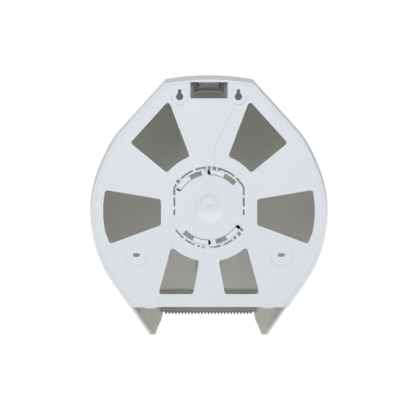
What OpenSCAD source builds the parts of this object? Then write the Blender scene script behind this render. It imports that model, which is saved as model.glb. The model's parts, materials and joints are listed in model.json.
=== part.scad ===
// Wall dispenser for jumbo toilet rolls: an open-windowed back plate, a hinged cover with a
// serrated outlet between two legs, a spinning core holder and a sprung top latch.
// The shape is drawn from the hub: u to the right as seen from the wall, v up, w towards the
// wall, with w = 0 on the wall. on_wall() stands it up, rear to +Y, keyholes at the origin.

/* [Outline] */
// Radius of the round sides
side_r = 161.9; // [150:0.1:175]
// How far the centre of the round sides lies below the hub
side_drop = 5; // [3:0.1:8]
// Distance from the hub to the sloped shoulder faces
slant_d = 161.4; // [158:0.1:166]
// Tilt of the shoulder normal above the horizontal
slant_a = 42.1; // [40:0.1:44]
// Height of the crown above the hub
crown_z = 180.3; // [176:0.1:186]
// Radius of the crown arc
crown_r = 330; // [280:1:400]
// Tilt of the straight lower sides
low_a = 35.2; // [33:0.1:37]
// Depth of the dispenser off the wall
body_d = 125; // [118:0.5:140]

/* [Cover] */
// Wall thickness of the cover
wall_t = 2.8; // [2:0.1:3.4]
// Edge radius round the front face
front_r = 12; // [8:0.5:16]
// Depth of the bevelled rim behind the widest outline
rim_d = 7.5; // [6:0.1:10]
// Inset of the rim at the crown
rim_crown_in = 5.4; // [4:0.1:6]
// Inset of the rim at the shoulders
rim_slant_in = 3; // [2:0.1:3.5]
// Inset of the rim at the sides
rim_side_in = 1.1; // [0.8:0.1:1.4]
// Draft of the side walls over the full depth
draft_in = 1.6; // [1:0.1:2.5]
// Depth of the leg tips off the wall
leg_tip_d = 70; // [60:1:80]
// Height of the rear leg tips below the hub
leg_tip_z = 178.7; // [170:0.1:184]
// Height of the front leg corners below the hub
leg_front_z = 182.6; // [176:0.1:190]
// Height of the rear edge's step below the hub
rim_step_z = 45; // [38:1:60]
// Width of a leg where the gap between the legs begins
leg_top_w = 34.7; // [32:0.1:38]
// Height of the front wall's lower edge below the hub
outlet_top_z = 146; // [144:0.5:148]

/* [Back plate] */
// Thickness of the plate
plate_t = 3; // [2.5:0.1:3.5]
// Gap between the plate's skin and the wall
plate_off = 1.5; // [1.2:0.1:2]
// Clearance between plate edge and cover rim
rim_gap = 0.6; // [0.4:0.05:1]
// Overlap of the plate's lip on the cover rim
lip_lap = 1; // [0.6:0.05:1.1]
// Plate edge inset from the cover at the crown
plate_crown_in = 8; // [7.6:0.1:8.4]
// Plate edge inset from the cover at the shoulders
plate_slant_in = 5.1; // [4.8:0.1:6]
// Plate edge inset from the cover at the sides
plate_side_in = 3.1; // [3:0.1:4]
// Height of the plate's lower edge below the hub
plate_low_z = 135.6; // [132:0.1:138]
// Inner radius of the windows
window_r = 73.9; // [70:0.1:78]
// Corner radius of the windows
window_corner_r = 3.7; // [2:0.1:6]
// Width of the rim outside the upper windows
slant_rim_w = 23.2; // [20:0.1:28]
// Width of the rim outside the side windows
side_rim_w = 14.5; // [12:0.1:20]
// Inner edge of the side windows
side_window_w = 65.4; // [60:0.1:70]
// Lower edge of the lower windows below the hub
lower_window_z = 118.2; // [112:0.1:122]

/* [Wall fixing] */
// Height of the keyhole entries above the hub
hub_drop = 150.5; // [148:0.5:153]
// Spacing of the keyholes
keyhole_span = 80; // [76:0.5:84]
// Radius of a keyhole entry
keyhole_r = 5; // [4:0.1:6]
// Width of a keyhole slot
keyhole_slot_w = 5; // [4:0.1:6]
// Rise from a keyhole entry to the end of its slot
keyhole_rise = 7.9; // [6:0.1:9]
// Spacing of the lower fixing slots
slot_span = 197.2; // [190:0.5:202]
// Height of the lower fixing slots below the hub
slot_z = 64.9; // [60:0.5:70]
// Length of a lower fixing slot
slot_l = 9.5; // [7:0.1:12]
// Width of a lower fixing slot
slot_w = 5; // [4:0.1:6]
// Radius of the pad round a lower fixing slot
slot_pad_r = 15; // [13:0.1:17]

/* [Spindle] */
// Radius of the core holder
mandrel_r = 22; // [20:0.1:24]
// Radius of the core holder's flange
flange_r = 40; // [36:0.5:42]
// Radius of the fixed axle
axle_r = 12; // [10:0.1:13]
// Running clearance of the core holder on the axle
run_gap = 0.06; // [0.04:0.01:0.1]
// Depth of the core holder's flange off the wall
mandrel_back_d = 20.8; // [20:0.1:24]
// Space between the core holder and the front face of the dispenser
mandrel_front_gap = 15; // [14:0.5:21]
// Inner radius of the bayonet windows
bayonet_in_r = 44; // [43.6:0.1:45]
// Outer radius of the bayonet windows
bayonet_out_r = 50.9; // [50:0.1:51]
// Radius of the dimple at the hub
dimple_r = 19.7; // [17:0.1:21]
// Depth of the dimple
dimple_d = 7.5; // [6:0.1:9]

/* [Latch] */
// Half-width of the latch pocket
pocket_w = 26.2; // [25.5:0.1:27]
// Lower edge of the latch pocket above the hub
pocket_low_z = 148.2; // [147.5:0.1:149]
// Upper edge of the latch pocket above the hub
pocket_top_z = 170.4; // [169.8:0.1:170.6]
// Distance of each latch post from the middle
post_x = 16; // [15:0.1:17]
// Width of a latch post
post_w = 4.6; // [4:0.1:5]
// Gap beside a latch post in its slot
post_gap = 0.3; // [0.25:0.01:0.4]

/* [Hinge] */
// Radius of the hinge pins
pin_r = 2.5; // [2:0.1:3]
// Depth of the hinge axis off the wall
hinge_d = 11.5; // [11:0.1:12.5]
// Height of the hinge axis below the hub
hinge_z = 131.5; // [130.5:0.1:132.5]
// Distance of a hinge lug's inner side from the cover's side
lug_side_w = 36.5; // [34:0.1:38]
// Width of a hinge lug
lug_w = 15; // [12:0.1:15]
// Radius of a hinge lug
lug_r = 7; // [6.5:0.1:7]
// Radius of a cover boss at the hinge
boss_r = 5.5; // [5:0.1:5.8]

/* [Tear strip] */
// Overlap of the tear strip behind each leg
strip_lap = 4.8; // [3:0.1:6]
// Top of the tear strip below the hub
strip_top_z = 118.5; // [116:0.1:122]
// Roots of the teeth below the hub
strip_root_z = 149.8; // [147:0.1:151]
// Height of a tooth
tooth_h = 3.8; // [2:0.1:5]
// Number of teeth
tooth_count = 27; // [15:1:35]
// Distance of the outermost tooth from each leg
teeth_side = 1; // [0.5:0.1:6]
// Thickness of the tear strip
strip_t = 2; // [1.5:0.1:2.5]

/* [Sight window] */
// Half-width of the sight opening
sight_w = 8; // [6:0.1:10]
// Top of the sight opening below the hub
sight_top_z = 33; // [28:0.5:40]
// Bottom of the sight opening below the hub
sight_low_z = 108; // [100:0.5:109]
// Thickness of the clear pane
pane_t = 1.5; // [1.2:0.1:2]

/* [Hidden] */
$fn = 64;
// Overrun of every cut
over = 1;
// Thickness of the slices that shape the cover
slice_t = 0.05;
// Steps along the outline's arcs
side_steps = 22;
blend_steps = 6;
crown_steps = 8;
edge_steps = 5;
corner_steps = 4;
arc_steps = 8;
// Where the round sides run into the shoulders, as hub angles
arc_top_a = 22;
slant_low_a = 40.5;
// Depths, measured from the wall towards the room as negative w
skin_w = -plate_off;
plate_w = -plate_off - plate_t;
lip_t = 1.2;
lip_gap_w = 0.4;
rim_w = skin_w - lip_t - lip_gap_w;
wide_w = -plate_off - rim_d;
hinge_w = -hinge_d;
// The lower sides flare to the leg tips, here at the depth of the drawing's lowest line
flare_z = 215;
leg_flare = 13;
white = "#E9EAEA";
pale = "#DDDFDF";

// Points and outlines
function polar(r, a) = r * [cos(a), sin(a)];
function unit(v) = v / norm(v);
// Crossing of two lines, each given by its distance from the hub and its normal's angle
function meet(d1, a1, d2, a2) =
  [d1 * sin(a2) - d2 * sin(a1), d2 * cos(a1) - d1 * cos(a2)] / sin(a2 - a1);
// Point of the straight lower side at height z, which is negative
function low_point(r, drop, z) = [(r + (drop + z) * sin(low_a)) / cos(low_a), z];
function low_side(z) = low_point(side_r, side_drop, -z)[0];

// Right half of the body outline, from a lowest point up to the crown
function half_outline(r, drop, slant, crown, low) =
  let(
    centre = [0, -drop],
    start = centre + polar(r, arc_top_a),
    bend = meet(r - drop * sin(arc_top_a), arc_top_a, slant, slant_a),
    end = polar(slant / cos(slant_low_a - slant_a), slant_low_a),
    crown_c = crown - crown_r,
    shoulder_a = slant_a + acos((slant - crown_c * sin(slant_a)) / crown_r)
  )
  concat(
    [low],
    [for (i = [0:side_steps]) centre + polar(r, -low_a + (low_a + arc_top_a) * i / side_steps)],
    [for (i = [1:blend_steps])
      let(t = i / blend_steps)
      start * (1 - t) * (1 - t) + bend * 2 * t * (1 - t) + end * t * t],
    [for (i = [0:crown_steps])
      [0, crown_c] + polar(crown_r, shoulder_a + (90 - shoulder_a) * i / crown_steps)]
  );
function both_halves(h) = concat(h, [for (i = [len(h) - 2:-1:0]) [-h[i][0], h[i][1]]]);

// One rounded corner at p, between points a and b
function corner(p, a, b, r) =
  let(
    ua = unit(a - p),
    ub = unit(b - p),
    half = acos(ua * ub) / 2,
    c = p + unit(ua + ub) * r / sin(half),
    s = p + ua * r / tan(half) - c,
    e = p + ub * r / tan(half) - c,
    a0 = atan2(s[1], s[0]),
    turn = (atan2(e[1], e[0]) - a0 + 540) % 360 - 180
  )
  [for (i = [0:corner_steps]) c + polar(r, a0 + turn * i / corner_steps)];
// Closed outline with the corners marked in round rounded to r
function rounded(pts, round, r) =
  let(n = len(pts))
  [for (i = [0:n - 1])
    each (round[i] ? corner(pts[i], pts[(i + n - 1) % n], pts[(i + 1) % n], r) : [pts[i]])];
function arc(r, a0, a1, steps = arc_steps) =
  [for (i = [0:steps]) polar(r, a0 + (a1 - a0) * i / steps)];
function sector(r0, r1, a0, a1) = concat(arc(r0, a0, a1), arc(r1, a1, a0));

// Stands the hub drawing up in the part's own frame
module on_wall() translate([0, 0, -hub_drop]) rotate([90, 0, 180]) children();
// Slab of the drawing between two depths
module slab(w0, w1) translate([0, 0, w0]) linear_extrude(w1 - w0) children();
// Extrusion of a u-w profile up from v0 to v1
module upright(v0, v1)
  translate([0, v1, 0]) rotate([90, 0, 0]) linear_extrude(v1 - v0) children();
// Extrusion of a w-v profile from u0 to u1
module across(u0, u1) translate([u0, 0, 0]) rotate([0, 90, 0]) mirror([1, 0, 0])
  linear_extrude(u1 - u0) children();
module both_sides() {
  children();
  mirror([1, 0, 0]) children();
}
module rod(u0, u1, r)
  translate([u0, -hinge_z, hinge_w]) rotate([0, 90, 0]) cylinder(r = r, h = u1 - u0);

// Outline of the plate, drawn in by an inset
plate_side_r = side_r - plate_side_in;
plate_drop = side_drop + plate_side_in / sin(low_a) - rim_gap / 2;
module plate_outline(inset, low_z) polygon(both_halves(half_outline(
  plate_side_r - inset, plate_drop, slant_d - plate_slant_in - inset,
  crown_z - plate_crown_in - inset, low_point(plate_side_r - inset, plate_drop, low_z))));

// Windows of the plate
upper_d = slant_d - slant_rim_w;
side_window_r = plate_side_r - side_rim_w;
side_arc_a = 1.9;
upper_ray = 69.3;
upper_ray_low = 39.3;
side_ray = 9.5;
side_ray_low = -20.3;
lower_ray = -46.2;
lower_ray_in = -79.6;
lower_ray_out = -59.7;
function upper_edge(a) = polar(upper_d / cos(a - slant_a), a);
upper_window = concat([upper_edge(upper_ray), polar(window_r, upper_ray)],
  [for (i = [1:3]) polar(window_r, upper_ray + (upper_ray_low - upper_ray) * i / 4)],
  [polar(window_r, upper_ray_low), upper_edge(upper_ray_low)]);
side_arc = [for (i = [1:3]) [0, -side_drop]
  + polar(side_window_r, side_ray + side_arc_a + (side_ray_low - side_ray) * i / 4)];
side_window = concat([[side_window_w, side_window_w * tan(side_ray)],
  [side_window_w, side_window_w * tan(side_ray_low)],
  polar(side_window_r - side_drop * sin(-side_ray_low) / 2 + side_drop * sin(side_ray) / 2,
    side_ray_low)], [for (i = [2:-1:0]) side_arc[i]],
  [polar(side_window_r - side_drop * sin(side_ray), side_ray)]);
lower_window = concat([polar(window_r, lower_ray)],
  [for (i = [1:3]) polar(window_r, lower_ray + (lower_ray_in - lower_ray) * i / 4)],
  [polar(window_r, lower_ray_in), [-lower_window_z / tan(lower_ray_in), -lower_window_z],
    [-lower_window_z / tan(lower_ray_out), -lower_window_z]]);

module windows() both_sides() {
  polygon(rounded(upper_window, [true, true, false, false, false, true, true], window_corner_r));
  polygon(rounded(side_window, [true, true, true, false, false, false, true], window_corner_r));
  polygon(rounded(lower_window, [true, false, false, false, true, true, true], window_corner_r));
}

// Fixing holes of the plate
module keyhole() translate([keyhole_span / 2, hub_drop]) {
  circle(r = keyhole_r);
  translate([-keyhole_slot_w / 2, 0]) square([keyhole_slot_w, keyhole_rise]);
  translate([0, keyhole_rise]) circle(r = keyhole_slot_w / 2);
}
module fixing_slot() translate([slot_span / 2, -slot_z]) {
  for (side = [-1, 1]) translate([side * (slot_l - slot_w) / 2, 0]) circle(r = slot_w / 2);
  square([slot_l - slot_w, slot_w], center = true);
}

// Broken ring slot round the hub, with a flat on each side
ring_r = 54.4;
ring_w = 2.7;
ring_flat_x = 47.2;
ring_arcs = [[31, 47], [51, 66], [70, 86], [-34, -50], [-54, -69], [-73, -88]];
flat_shares = [[0.515, 0.303], [0.248, 0.018], [-0.055, -0.193]];
// Angles of the bayonet windows seen from the wall, and where the hub's hooks start in them
bayonets = [[42.5, 90, 65], [102, 149, 123], [225, 270, 244], [281, 326, 300]];
module ring_slots() {
  both_sides() {
    for (a = ring_arcs) polygon(sector(ring_r - ring_w / 2, ring_r + ring_w / 2, a[0], a[1]));
    for (f = flat_shares) translate([ring_flat_x - ring_w / 2, f[1] * ring_r])
      square([ring_w, (f[0] - f[1]) * ring_r]);
  }
  for (b = bayonets) polygon(sector(bayonet_in_r, bayonet_out_r, b[0], b[1]));
}

// Raised lands on the plate's wall side
rim_bead_w = 3.4;
rim_bead_h = 0.8;
ridge_h = 0.7;
keyhole_pad_r = 10.5;
pad_slope = 0.9;
frame_w = 3.2;
spine_w = 13.6;
spoke_w = 13;
spoke_low_a = -33;
spoke_end_r = 62.5;
shelf_bend_x = 52;
shelf_ray = side_ray_low - 2.5;
shelf_step_w = 4.5;
spine_half = [[-over, dimple_r - over], [spine_w / 2, dimple_r - over],
  [spine_w / 2, window_r + spine_w / 2], [keyhole_span / 2 - keyhole_r, hub_drop - keyhole_pad_r],
  [keyhole_span / 2 - keyhole_pad_r, pocket_top_z], [-over, pocket_top_z]];
shelf_half = [polar(spoke_end_r + shelf_step_w, shelf_ray), [slot_span, slot_span * tan(shelf_ray)],
  [slot_span, -plate_low_z], [over - lower_window_z / tan(lower_ray_out), -plate_low_z],
  [shelf_bend_x, -shelf_bend_x], [shelf_bend_x - shelf_step_w, shelf_step_w * 4 - shelf_bend_x]];
module lands() {
  slab(skin_w - lip_t, skin_w + rim_bead_h) difference() {
    plate_outline(-rim_gap - lip_lap, -plate_low_z);
    plate_outline(rim_bead_w - rim_gap - lip_lap, -plate_low_z - over);
  }
  slab(skin_w - over, skin_w + ridge_h) {
    both_sides() polygon(spine_half);
    both_sides() polygon([polar(dimple_r - over, 30), polar(spoke_end_r, shelf_ray),
      polar(spoke_end_r - spoke_w, spoke_low_a), polar(dimple_r - over, spoke_low_a)]);
    both_sides() intersection() {
      plate_outline(rim_bead_w + over, -plate_low_z);
      polygon(shelf_half);
    }
  }
  both_sides() {
    translate([slot_span / 2, -slot_z]) pad(slot_pad_r);
    translate([keyhole_span / 2, hub_drop]) pad(keyhole_pad_r);
    slab(skin_w - over, skin_w + rim_bead_h) translate([pocket_w - over, pocket_low_z - frame_w])
      square([frame_w + over, pocket_top_z - pocket_low_z + frame_w]);
  }
}
module pad(r) translate([0, 0, skin_w])
  cylinder(r1 = r + pad_slope, r2 = r, h = plate_off);

// Latch pocket, tapering towards the room
pocket_wall = 1;
pocket_d = 19;
pocket_taper = 3.7;
pocket_floor_w = 19.5;
module pocket_shape(grow, depth) upright(pocket_low_z - grow, pocket_top_z + grow)
  polygon([[-pocket_w - grow, skin_w + over], [pocket_w + grow, skin_w + over],
    [pocket_w - pocket_taper + grow, -depth], [pocket_taper - pocket_w - grow, -depth]]);
post_back_d = 10.5;
post_back_w = -post_back_d;
post_d = 5;
small_slot_x = 21;
small_slot_w = 1.2;
module pocket_slots() {
  both_sides() {
    translate([post_x - post_w / 2 - post_gap, pocket_top_z - over, post_back_w - post_d - post_gap])
      cube([post_w + 2 * post_gap, pocket_wall + 2 * over, post_d + 2 * post_gap]);
    translate([small_slot_x, pocket_top_z - over, post_back_w - post_d])
      cube([small_slot_w, pocket_wall + 2 * over, post_d]);
  }
}

// Stiffening walls on the plate's room side
rib_t = 1.6;
rib_h = 5.5;
rib_in = 4;
rib_low_z = 112;
spoke_inset = 11;
spoke_l = slot_span / 2 - spoke_inset;
spokes = [[24.4, spoke_l], [-33, spoke_l], [-90, lower_window_z - ring_r]];
module stiffeners() {
  slab(plate_w - rib_h, plate_w + over) {
    intersection() {
      difference() {
        plate_outline(rib_in, -plate_low_z);
        plate_outline(rib_in + rib_t, -plate_low_z - over);
      }
      translate([-slot_span, -rib_low_z]) square([2 * slot_span, rib_low_z + pocket_low_z]);
    }
    both_sides() for (s = spokes) rotate(s[0]) translate([ring_r + ring_w, -rib_t / 2])
      square([s[1], rib_t]);
  }
}

lug_in_x = low_side(hinge_z) - lug_side_w;
lug_drop = 1.4;
module lug() {
  rod(lug_in_x, lug_in_x + lug_w, lug_r);
  translate([lug_in_x, -plate_low_z - lug_drop, hinge_w + lug_r / 2])
    cube([lug_w, plate_low_z + lug_drop - hinge_z + lug_r / 2, hinge_d - lug_r / 2 - plate_off]);
}

dimple_back_r = 1;
apex_r = 0.8;
module back_plate() color(white) on_wall() difference() {
  union() {
    slab(plate_w, skin_w) plate_outline(0, -plate_low_z);
    lands();
    pocket_shape(pocket_wall, pocket_d);
    stiffeners();
    both_sides() lug();
    translate([0, 0, plate_w - dimple_d])
      cylinder(r1 = dimple_back_r, r2 = dimple_r + plate_t, h = dimple_d + plate_t / 2);
  }
  slab(plate_w - pocket_d, over) {
    windows();
    both_sides() {
      keyhole();
      fixing_slot();
    }
  }
  slab(plate_w - over, over) ring_slots();
  for (b = bayonets) slab(skin_w, over)
    polygon(sector(bayonet_in_r - hook_gap, bayonet_out_r + hook_gap,
      b[1] - 2 * lip_a, b[1] + 2 * lip_a));
  pocket_shape(0, pocket_d - pocket_wall);
  upright(pocket_low_z, pocket_top_z) translate([-pocket_w, skin_w - over])
    square([2 * pocket_w, plate_off + 2 * over]);
  slab(-pocket_d - over, plate_w) translate([-pocket_floor_w, pocket_low_z + pocket_wall])
    square([2 * pocket_floor_w, pocket_top_z - pocket_low_z - 2 * pocket_wall]);
  pocket_slots();
  translate([0, 0, skin_w - dimple_d]) cylinder(r1 = apex_r, r2 = dimple_r, h = dimple_d);
  translate([0, 0, skin_w]) cylinder(r = dimple_r, h = plate_off + over);
  both_sides() rod(lug_in_x - over, lug_in_x + lug_w + over, pin_r + run_gap);
}

// Hub base: flange on the plate, hooks through the bayonet windows and the fixed axle
base_t = 3;
brake_t = 2;
mandrel_shoulder_gap = 2.8;
base_in_r = 24;
base_out_r = 42;
shoulder_r = 18;
shoulder_w = mandrel_shoulder_gap - mandrel_back_d;
axle_bore_r = 8.5;
hook_gap = 0.5;
hook_a = 0.6;
lip_a = 3;
hook_lip_t = 0.8;
lip_gap = 0.1;
web_t = 6;
pilot_r = 1.7;
mandrel_back_w = -mandrel_back_d;
mandrel_front_w = mandrel_front_gap - body_d;
axle_end_w = mandrel_front_w - brake_t;
axle_web_w = axle_end_w + 4 * web_t;
hook_in_r = bayonet_in_r + hook_gap;
hook_out_r = bayonet_out_r - hook_gap;
module hub_base() color(pale) on_wall() {
  difference() {
    rotate_extrude() polygon([[base_in_r, plate_w], [base_out_r, plate_w],
      [base_out_r, plate_w - base_t], [base_in_r + base_t, plate_w - base_t],
      [shoulder_r, shoulder_w], [axle_r, shoulder_w], [axle_r, axle_end_w],
      [axle_bore_r, axle_end_w], [axle_bore_r, axle_web_w], [0, axle_web_w],
      [0, axle_web_w + web_t], [axle_bore_r, axle_web_w + web_t],
      [axle_bore_r, shoulder_w + base_t / 2], [base_in_r, plate_w - base_t / 2]]);
    translate([0, 0, -body_d]) cylinder(r = pilot_r, h = body_d + shoulder_w);
  }
  for (b = bayonets) {
    slab(plate_w - base_t, plate_w)
      polygon(sector(base_out_r - base_t, hook_out_r, b[2] - hook_a, b[1]));
    slab(plate_w - base_t / 2, skin_w + lip_gap + hook_lip_t)
      polygon(sector(hook_in_r, hook_out_r - lip_gap, b[2], b[1] - hook_a));
    slab(skin_w + lip_gap, skin_w + lip_gap + hook_lip_t)
      polygon(sector(hook_in_r + lip_gap, hook_out_r - 2 * lip_gap, b[1] - lip_a, b[1] + lip_a));
  }
}

// Core holder that spins on the axle
tube_t = 2.2;
bearing_t = 2;
land_l = 8;
relief = 0.9;
flange_t = 2.5;
web_count = 6;
grip_h = 6;
module mandrel() color(white) on_wall() difference() {
  union() {
    slab(mandrel_back_w - flange_t, mandrel_back_w) circle(r = flange_r);
    slab(mandrel_front_w, mandrel_back_w) difference() {
      circle(r = mandrel_r);
      circle(r = mandrel_r - tube_t);
    }
    slab(mandrel_front_w, mandrel_back_w) {
      circle(r = axle_r + run_gap + bearing_t);
      intersection() {
        circle(r = mandrel_r - tube_t / 2);
        for (i = [0:web_count - 1]) rotate(180 * i / web_count)
          square([2 * mandrel_r, bearing_t], center = true);
      }
    }
  }
  slab(-body_d, 0) circle(r = axle_r + run_gap);
  slab(mandrel_front_w + land_l, mandrel_back_w - land_l) circle(r = axle_r + relief);
}

// Fixed washer, brake ring and cap of the axle
washer_gap = 0.25;
module thrust_washer() color("#D9D6C8") on_wall()
  slab(mandrel_back_w + washer_gap, shoulder_w) difference() {
    circle(r = shoulder_r - washer_gap);
    circle(r = axle_r + washer_gap);
  }

cap_t = 3;
module brake_ring() color("#3B3D3E") on_wall()
  slab(axle_end_w, mandrel_front_w - washer_gap) difference() {
    circle(r = shoulder_r - washer_gap);
    circle(r = axle_r + washer_gap);
  }

cap_spigot_l = 8;
cap_r = 18.5;
module axle_cap() color(pale) on_wall() difference() {
  union() {
    slab(axle_end_w - cap_t, axle_end_w) circle(r = cap_r);
    slab(axle_end_w - cap_t, axle_end_w + cap_spigot_l) circle(r = axle_bore_r - lip_gap);
  }
  slab(-body_d, 0) circle(r = pilot_r + washer_gap);
}

screw_head_r = 3.6;
screw_head_h = 2.4;
module screw(length) {
  difference() {
    slab(-screw_head_h, 0) circle(r = screw_head_r);
    slab(-screw_head_h - over, -screw_head_h / 2) {
      square([screw_head_r, screw_head_h / 3], center = true);
      square([screw_head_h / 3, screw_head_r], center = true);
    }
  }
  slab(-over / 2, length) circle(r = pilot_r - lip_gap / 2);
}
cap_washer_t = 1;
cap_washer_r = 5.5;
cap_washer_w = axle_end_w - cap_t - cap_washer_t;
cap_screw_l = 34;
module cap_washer() color("#B8BCBF") on_wall() slab(cap_washer_w, axle_end_w - cap_t)
  difference() {
    circle(r = cap_washer_r);
    circle(r = pilot_r + washer_gap);
  }
module cap_screw() color("#B8BCBF") on_wall() translate([0, 0, cap_washer_w])
  screw(cap_screw_l);

// Latch slider: two posts on a bar that a bow spring lifts
post_low_z = 159.3;
bar_h = 4.4;
bar_half = 21.2;
bar_w = 5.6;
post_top_z = 171.9;
module latch_slider() color(pale) on_wall() {
  translate([-bar_half, post_low_z, post_back_w - post_d]) cube([2 * bar_half, bar_h, post_d]);
  both_sides() translate([post_x - post_w / 2, post_low_z, post_back_w - post_d])
    cube([post_w, post_top_z - post_low_z, post_d]);
}

bow_t = 1.8;
bow_half = 21.4;
bow_d = 4;
bow_foot = 0.4;
bow_steps = 14;
bow_rise = post_low_z - pocket_low_z - bow_t - lip_gap;
function bow_at(t, lift) = [bow_half * t, pocket_low_z + lift + bow_rise * (1 - pow(abs(t), 5))];
module latch_bow_spring() color(pale) on_wall()
  slab(post_back_w - bow_d - bow_foot, post_back_w - bow_foot) polygon(concat(
    [for (i = [-bow_steps:bow_steps]) bow_at(i / bow_steps, bow_t)],
    [for (i = [bow_steps:-1:-bow_steps]) bow_at(i / bow_steps * (1 - bow_t / bow_half), 0)]));

// Guide: two rails on a foot that keep the slider in the pocket
guide_gap = 0.3;
guide_foot_t = 1;
guide_d = 6;
rail_w = 2;
guide_out = bar_half + rail_w / 2;
guide_foot_z = pocket_low_z + guide_gap;
module latch_guide() color(pale) on_wall() slab(post_back_w + guide_gap, post_back_w + guide_d)
  difference() {
    translate([-guide_out, guide_foot_z])
      square([2 * guide_out, pocket_top_z - pocket_low_z - 2 * guide_gap]);
    translate([rail_w - guide_out, guide_foot_z + guide_foot_t])
      square([2 * (guide_out - rail_w), crown_z]);
  }

// Slice of the cover's outer or inner form at depth w, drawn in by an inset
module cover_outline(inset, flare) polygon(both_halves(half_outline(side_r - inset, side_drop,
  slant_d - inset, crown_z - inset,
  low_point(side_r - inset, side_drop, -flare_z) + [flare, 0])));
module cover_slice(w, inset, flare) translate([0, 0, w]) linear_extrude(slice_t)
  cover_outline(inset, flare);
module rim_slice() translate([0, 0, rim_w]) linear_extrude(slice_t)
  polygon(both_halves(half_outline(side_r - rim_side_in, side_drop + rim_side_in / sin(low_a),
    slant_d - rim_slant_in, crown_z - rim_crown_in, low_point(side_r, side_drop, -flare_z))));
module cover_form(inset) hull() {
  if (inset == 0) rim_slice();
  else translate([0, 0, rim_w - over]) linear_extrude(slice_t) intersection() {
    plate_outline(-rim_gap, -flare_z);
    cover_outline(inset, 0);
  }
  cover_slice(wide_w, inset, 0);
  cover_slice(-leg_tip_d, inset + draft_in / 2, 0);
  for (i = [0:edge_steps]) {
    edge = front_r - inset;
    turn = 90 * i / edge_steps;
    cover_slice(inset - body_d + edge * (1 - sin(turn)),
      inset + draft_in + edge * (1 - cos(turn)), leg_flare);
  }
}

// Rear edge of the cover below the step, and the slope of its legs
rear_gap = 1;
rear_w = plate_w - rear_gap;
rear_cut_h = lip_t + lip_gap_w + 2 * over;
module rear_cut() across(-slot_span, slot_span) polygon([[over, -rim_step_z], [rear_w, -rim_step_z],
  [rear_w, -hinge_z], [hinge_w + boss_r * cos(45), -hinge_z - boss_r * cos(45)],
  [hinge_w, -hinge_z - boss_r], [-leg_tip_d, -leg_tip_z], [-body_d - over, -leg_front_z],
  [-body_d - over, -flare_z - over], [over, -flare_z - over]]);

// Gap between the legs, widening downwards in three steps
outlet_top_w = low_side(outlet_top_z) - leg_top_w;
outlet_mid_z = 162.1;
outlet_mid_step = 3.8;
outlet_mid_w = outlet_top_w + outlet_mid_step;
outlet_bend_z = 170.7;
outlet_bend_step = 7.9;
outlet_bend_w = outlet_top_w + outlet_bend_step;
outlet_low_step = 12.1;
outlet_low_w = outlet_top_w + outlet_low_step;
outlet_half = [[outlet_top_w, -outlet_top_z], [outlet_mid_w, -outlet_mid_z],
  [outlet_bend_w, -outlet_bend_z], [outlet_low_w, -leg_front_z + over],
  [outlet_low_w + over, -flare_z]];
module outlet() slab(-body_d - over, -leg_tip_d) polygon(concat(outlet_half,
  [for (i = [len(outlet_half) - 1:-1:0]) [-outlet_half[i][0], outlet_half[i][1]]]));

catch_low_z = 172.9;
catch_half = 20.5;
catch_t = 2.2;
catch_d = 9.7;
bezel_half = 21;
bezel_gap = 0.15;
bezel_back_d = 10.4;
bezel_d = 7;
boss_gap = 1.5;
standoff = 0.7;
strip_w = outlet_top_w + strip_lap;
teeth_w = outlet_top_w - teeth_side;
strip_screw_side = 18.8;
strip_screw_x = strip_w - strip_screw_side;
strip_screw_z = 128;
screw_boss_r = 4.5;
pane_lap = 3.5;
frame_lap = 2.5;
frame_t = 1.8;
stake_r = 1.4;
stake_side = 2.25;
stake_x = sight_w + pane_lap + stake_side;
stake_end = 6;
stake_zs = [sight_top_z + stake_end, sight_low_z - stake_end];
front_in_w = wall_t - body_d;

module front_cover() color(white) on_wall() difference() {
  cover_form(0);
  difference() {
    cover_form(wall_t);
    both_sides() rod(lug_in_x + lug_w + boss_gap, side_r, boss_r);
    translate([-catch_half, catch_low_z, -catch_d]) cube([2 * catch_half, crown_z, catch_t]);
    for (x = [-strip_screw_x, 0, strip_screw_x]) translate([x, -strip_screw_z, front_in_w - over])
      cylinder(r = screw_boss_r, h = over + standoff);
    for (z = stake_zs) both_sides() translate([stake_x, -z, front_in_w - over])
      cylinder(r = stake_r, h = over + pane_t + frame_t);
  }
  slab(rim_w - 2 * over, rim_w - 2 * over + rear_cut_h) plate_outline(-rim_gap, -flare_z);
  rear_cut();
  outlet();
  both_sides() rod(lug_in_x, lug_in_x + 2 * lug_w, pin_r + run_gap);
  translate([-bezel_half, catch_low_z, -bezel_back_d - bezel_d])
    cube([2 * bezel_half, crown_z, bezel_d]);
  slab(-body_d - over, front_in_w + over)
    translate([-sight_w, -sight_low_z]) square([2 * sight_w, sight_low_z - sight_top_z]);
  for (x = [-strip_screw_x, 0, strip_screw_x]) translate([x, -strip_screw_z, -body_d + standoff])
    cylinder(r = pilot_r, h = wall_t + over);
}

bezel_sink = 1.5;
bezel_t = 2.5;
bezel_top_z = crown_z - bezel_sink;
bezel_low_z = bezel_top_z - bezel_t;
module lock_bezel() color(pale) on_wall() difference() {
  translate([bezel_gap - bezel_half, bezel_low_z, bezel_gap - bezel_back_d - bezel_d])
    cube([2 * (bezel_half - bezel_gap), bezel_top_z - bezel_low_z, bezel_d - 2 * bezel_gap]);
  both_sides() translate([post_x - post_w / 2, bezel_low_z - over, post_back_w - post_d])
    cube([post_w, crown_z, post_d]);
}

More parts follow.
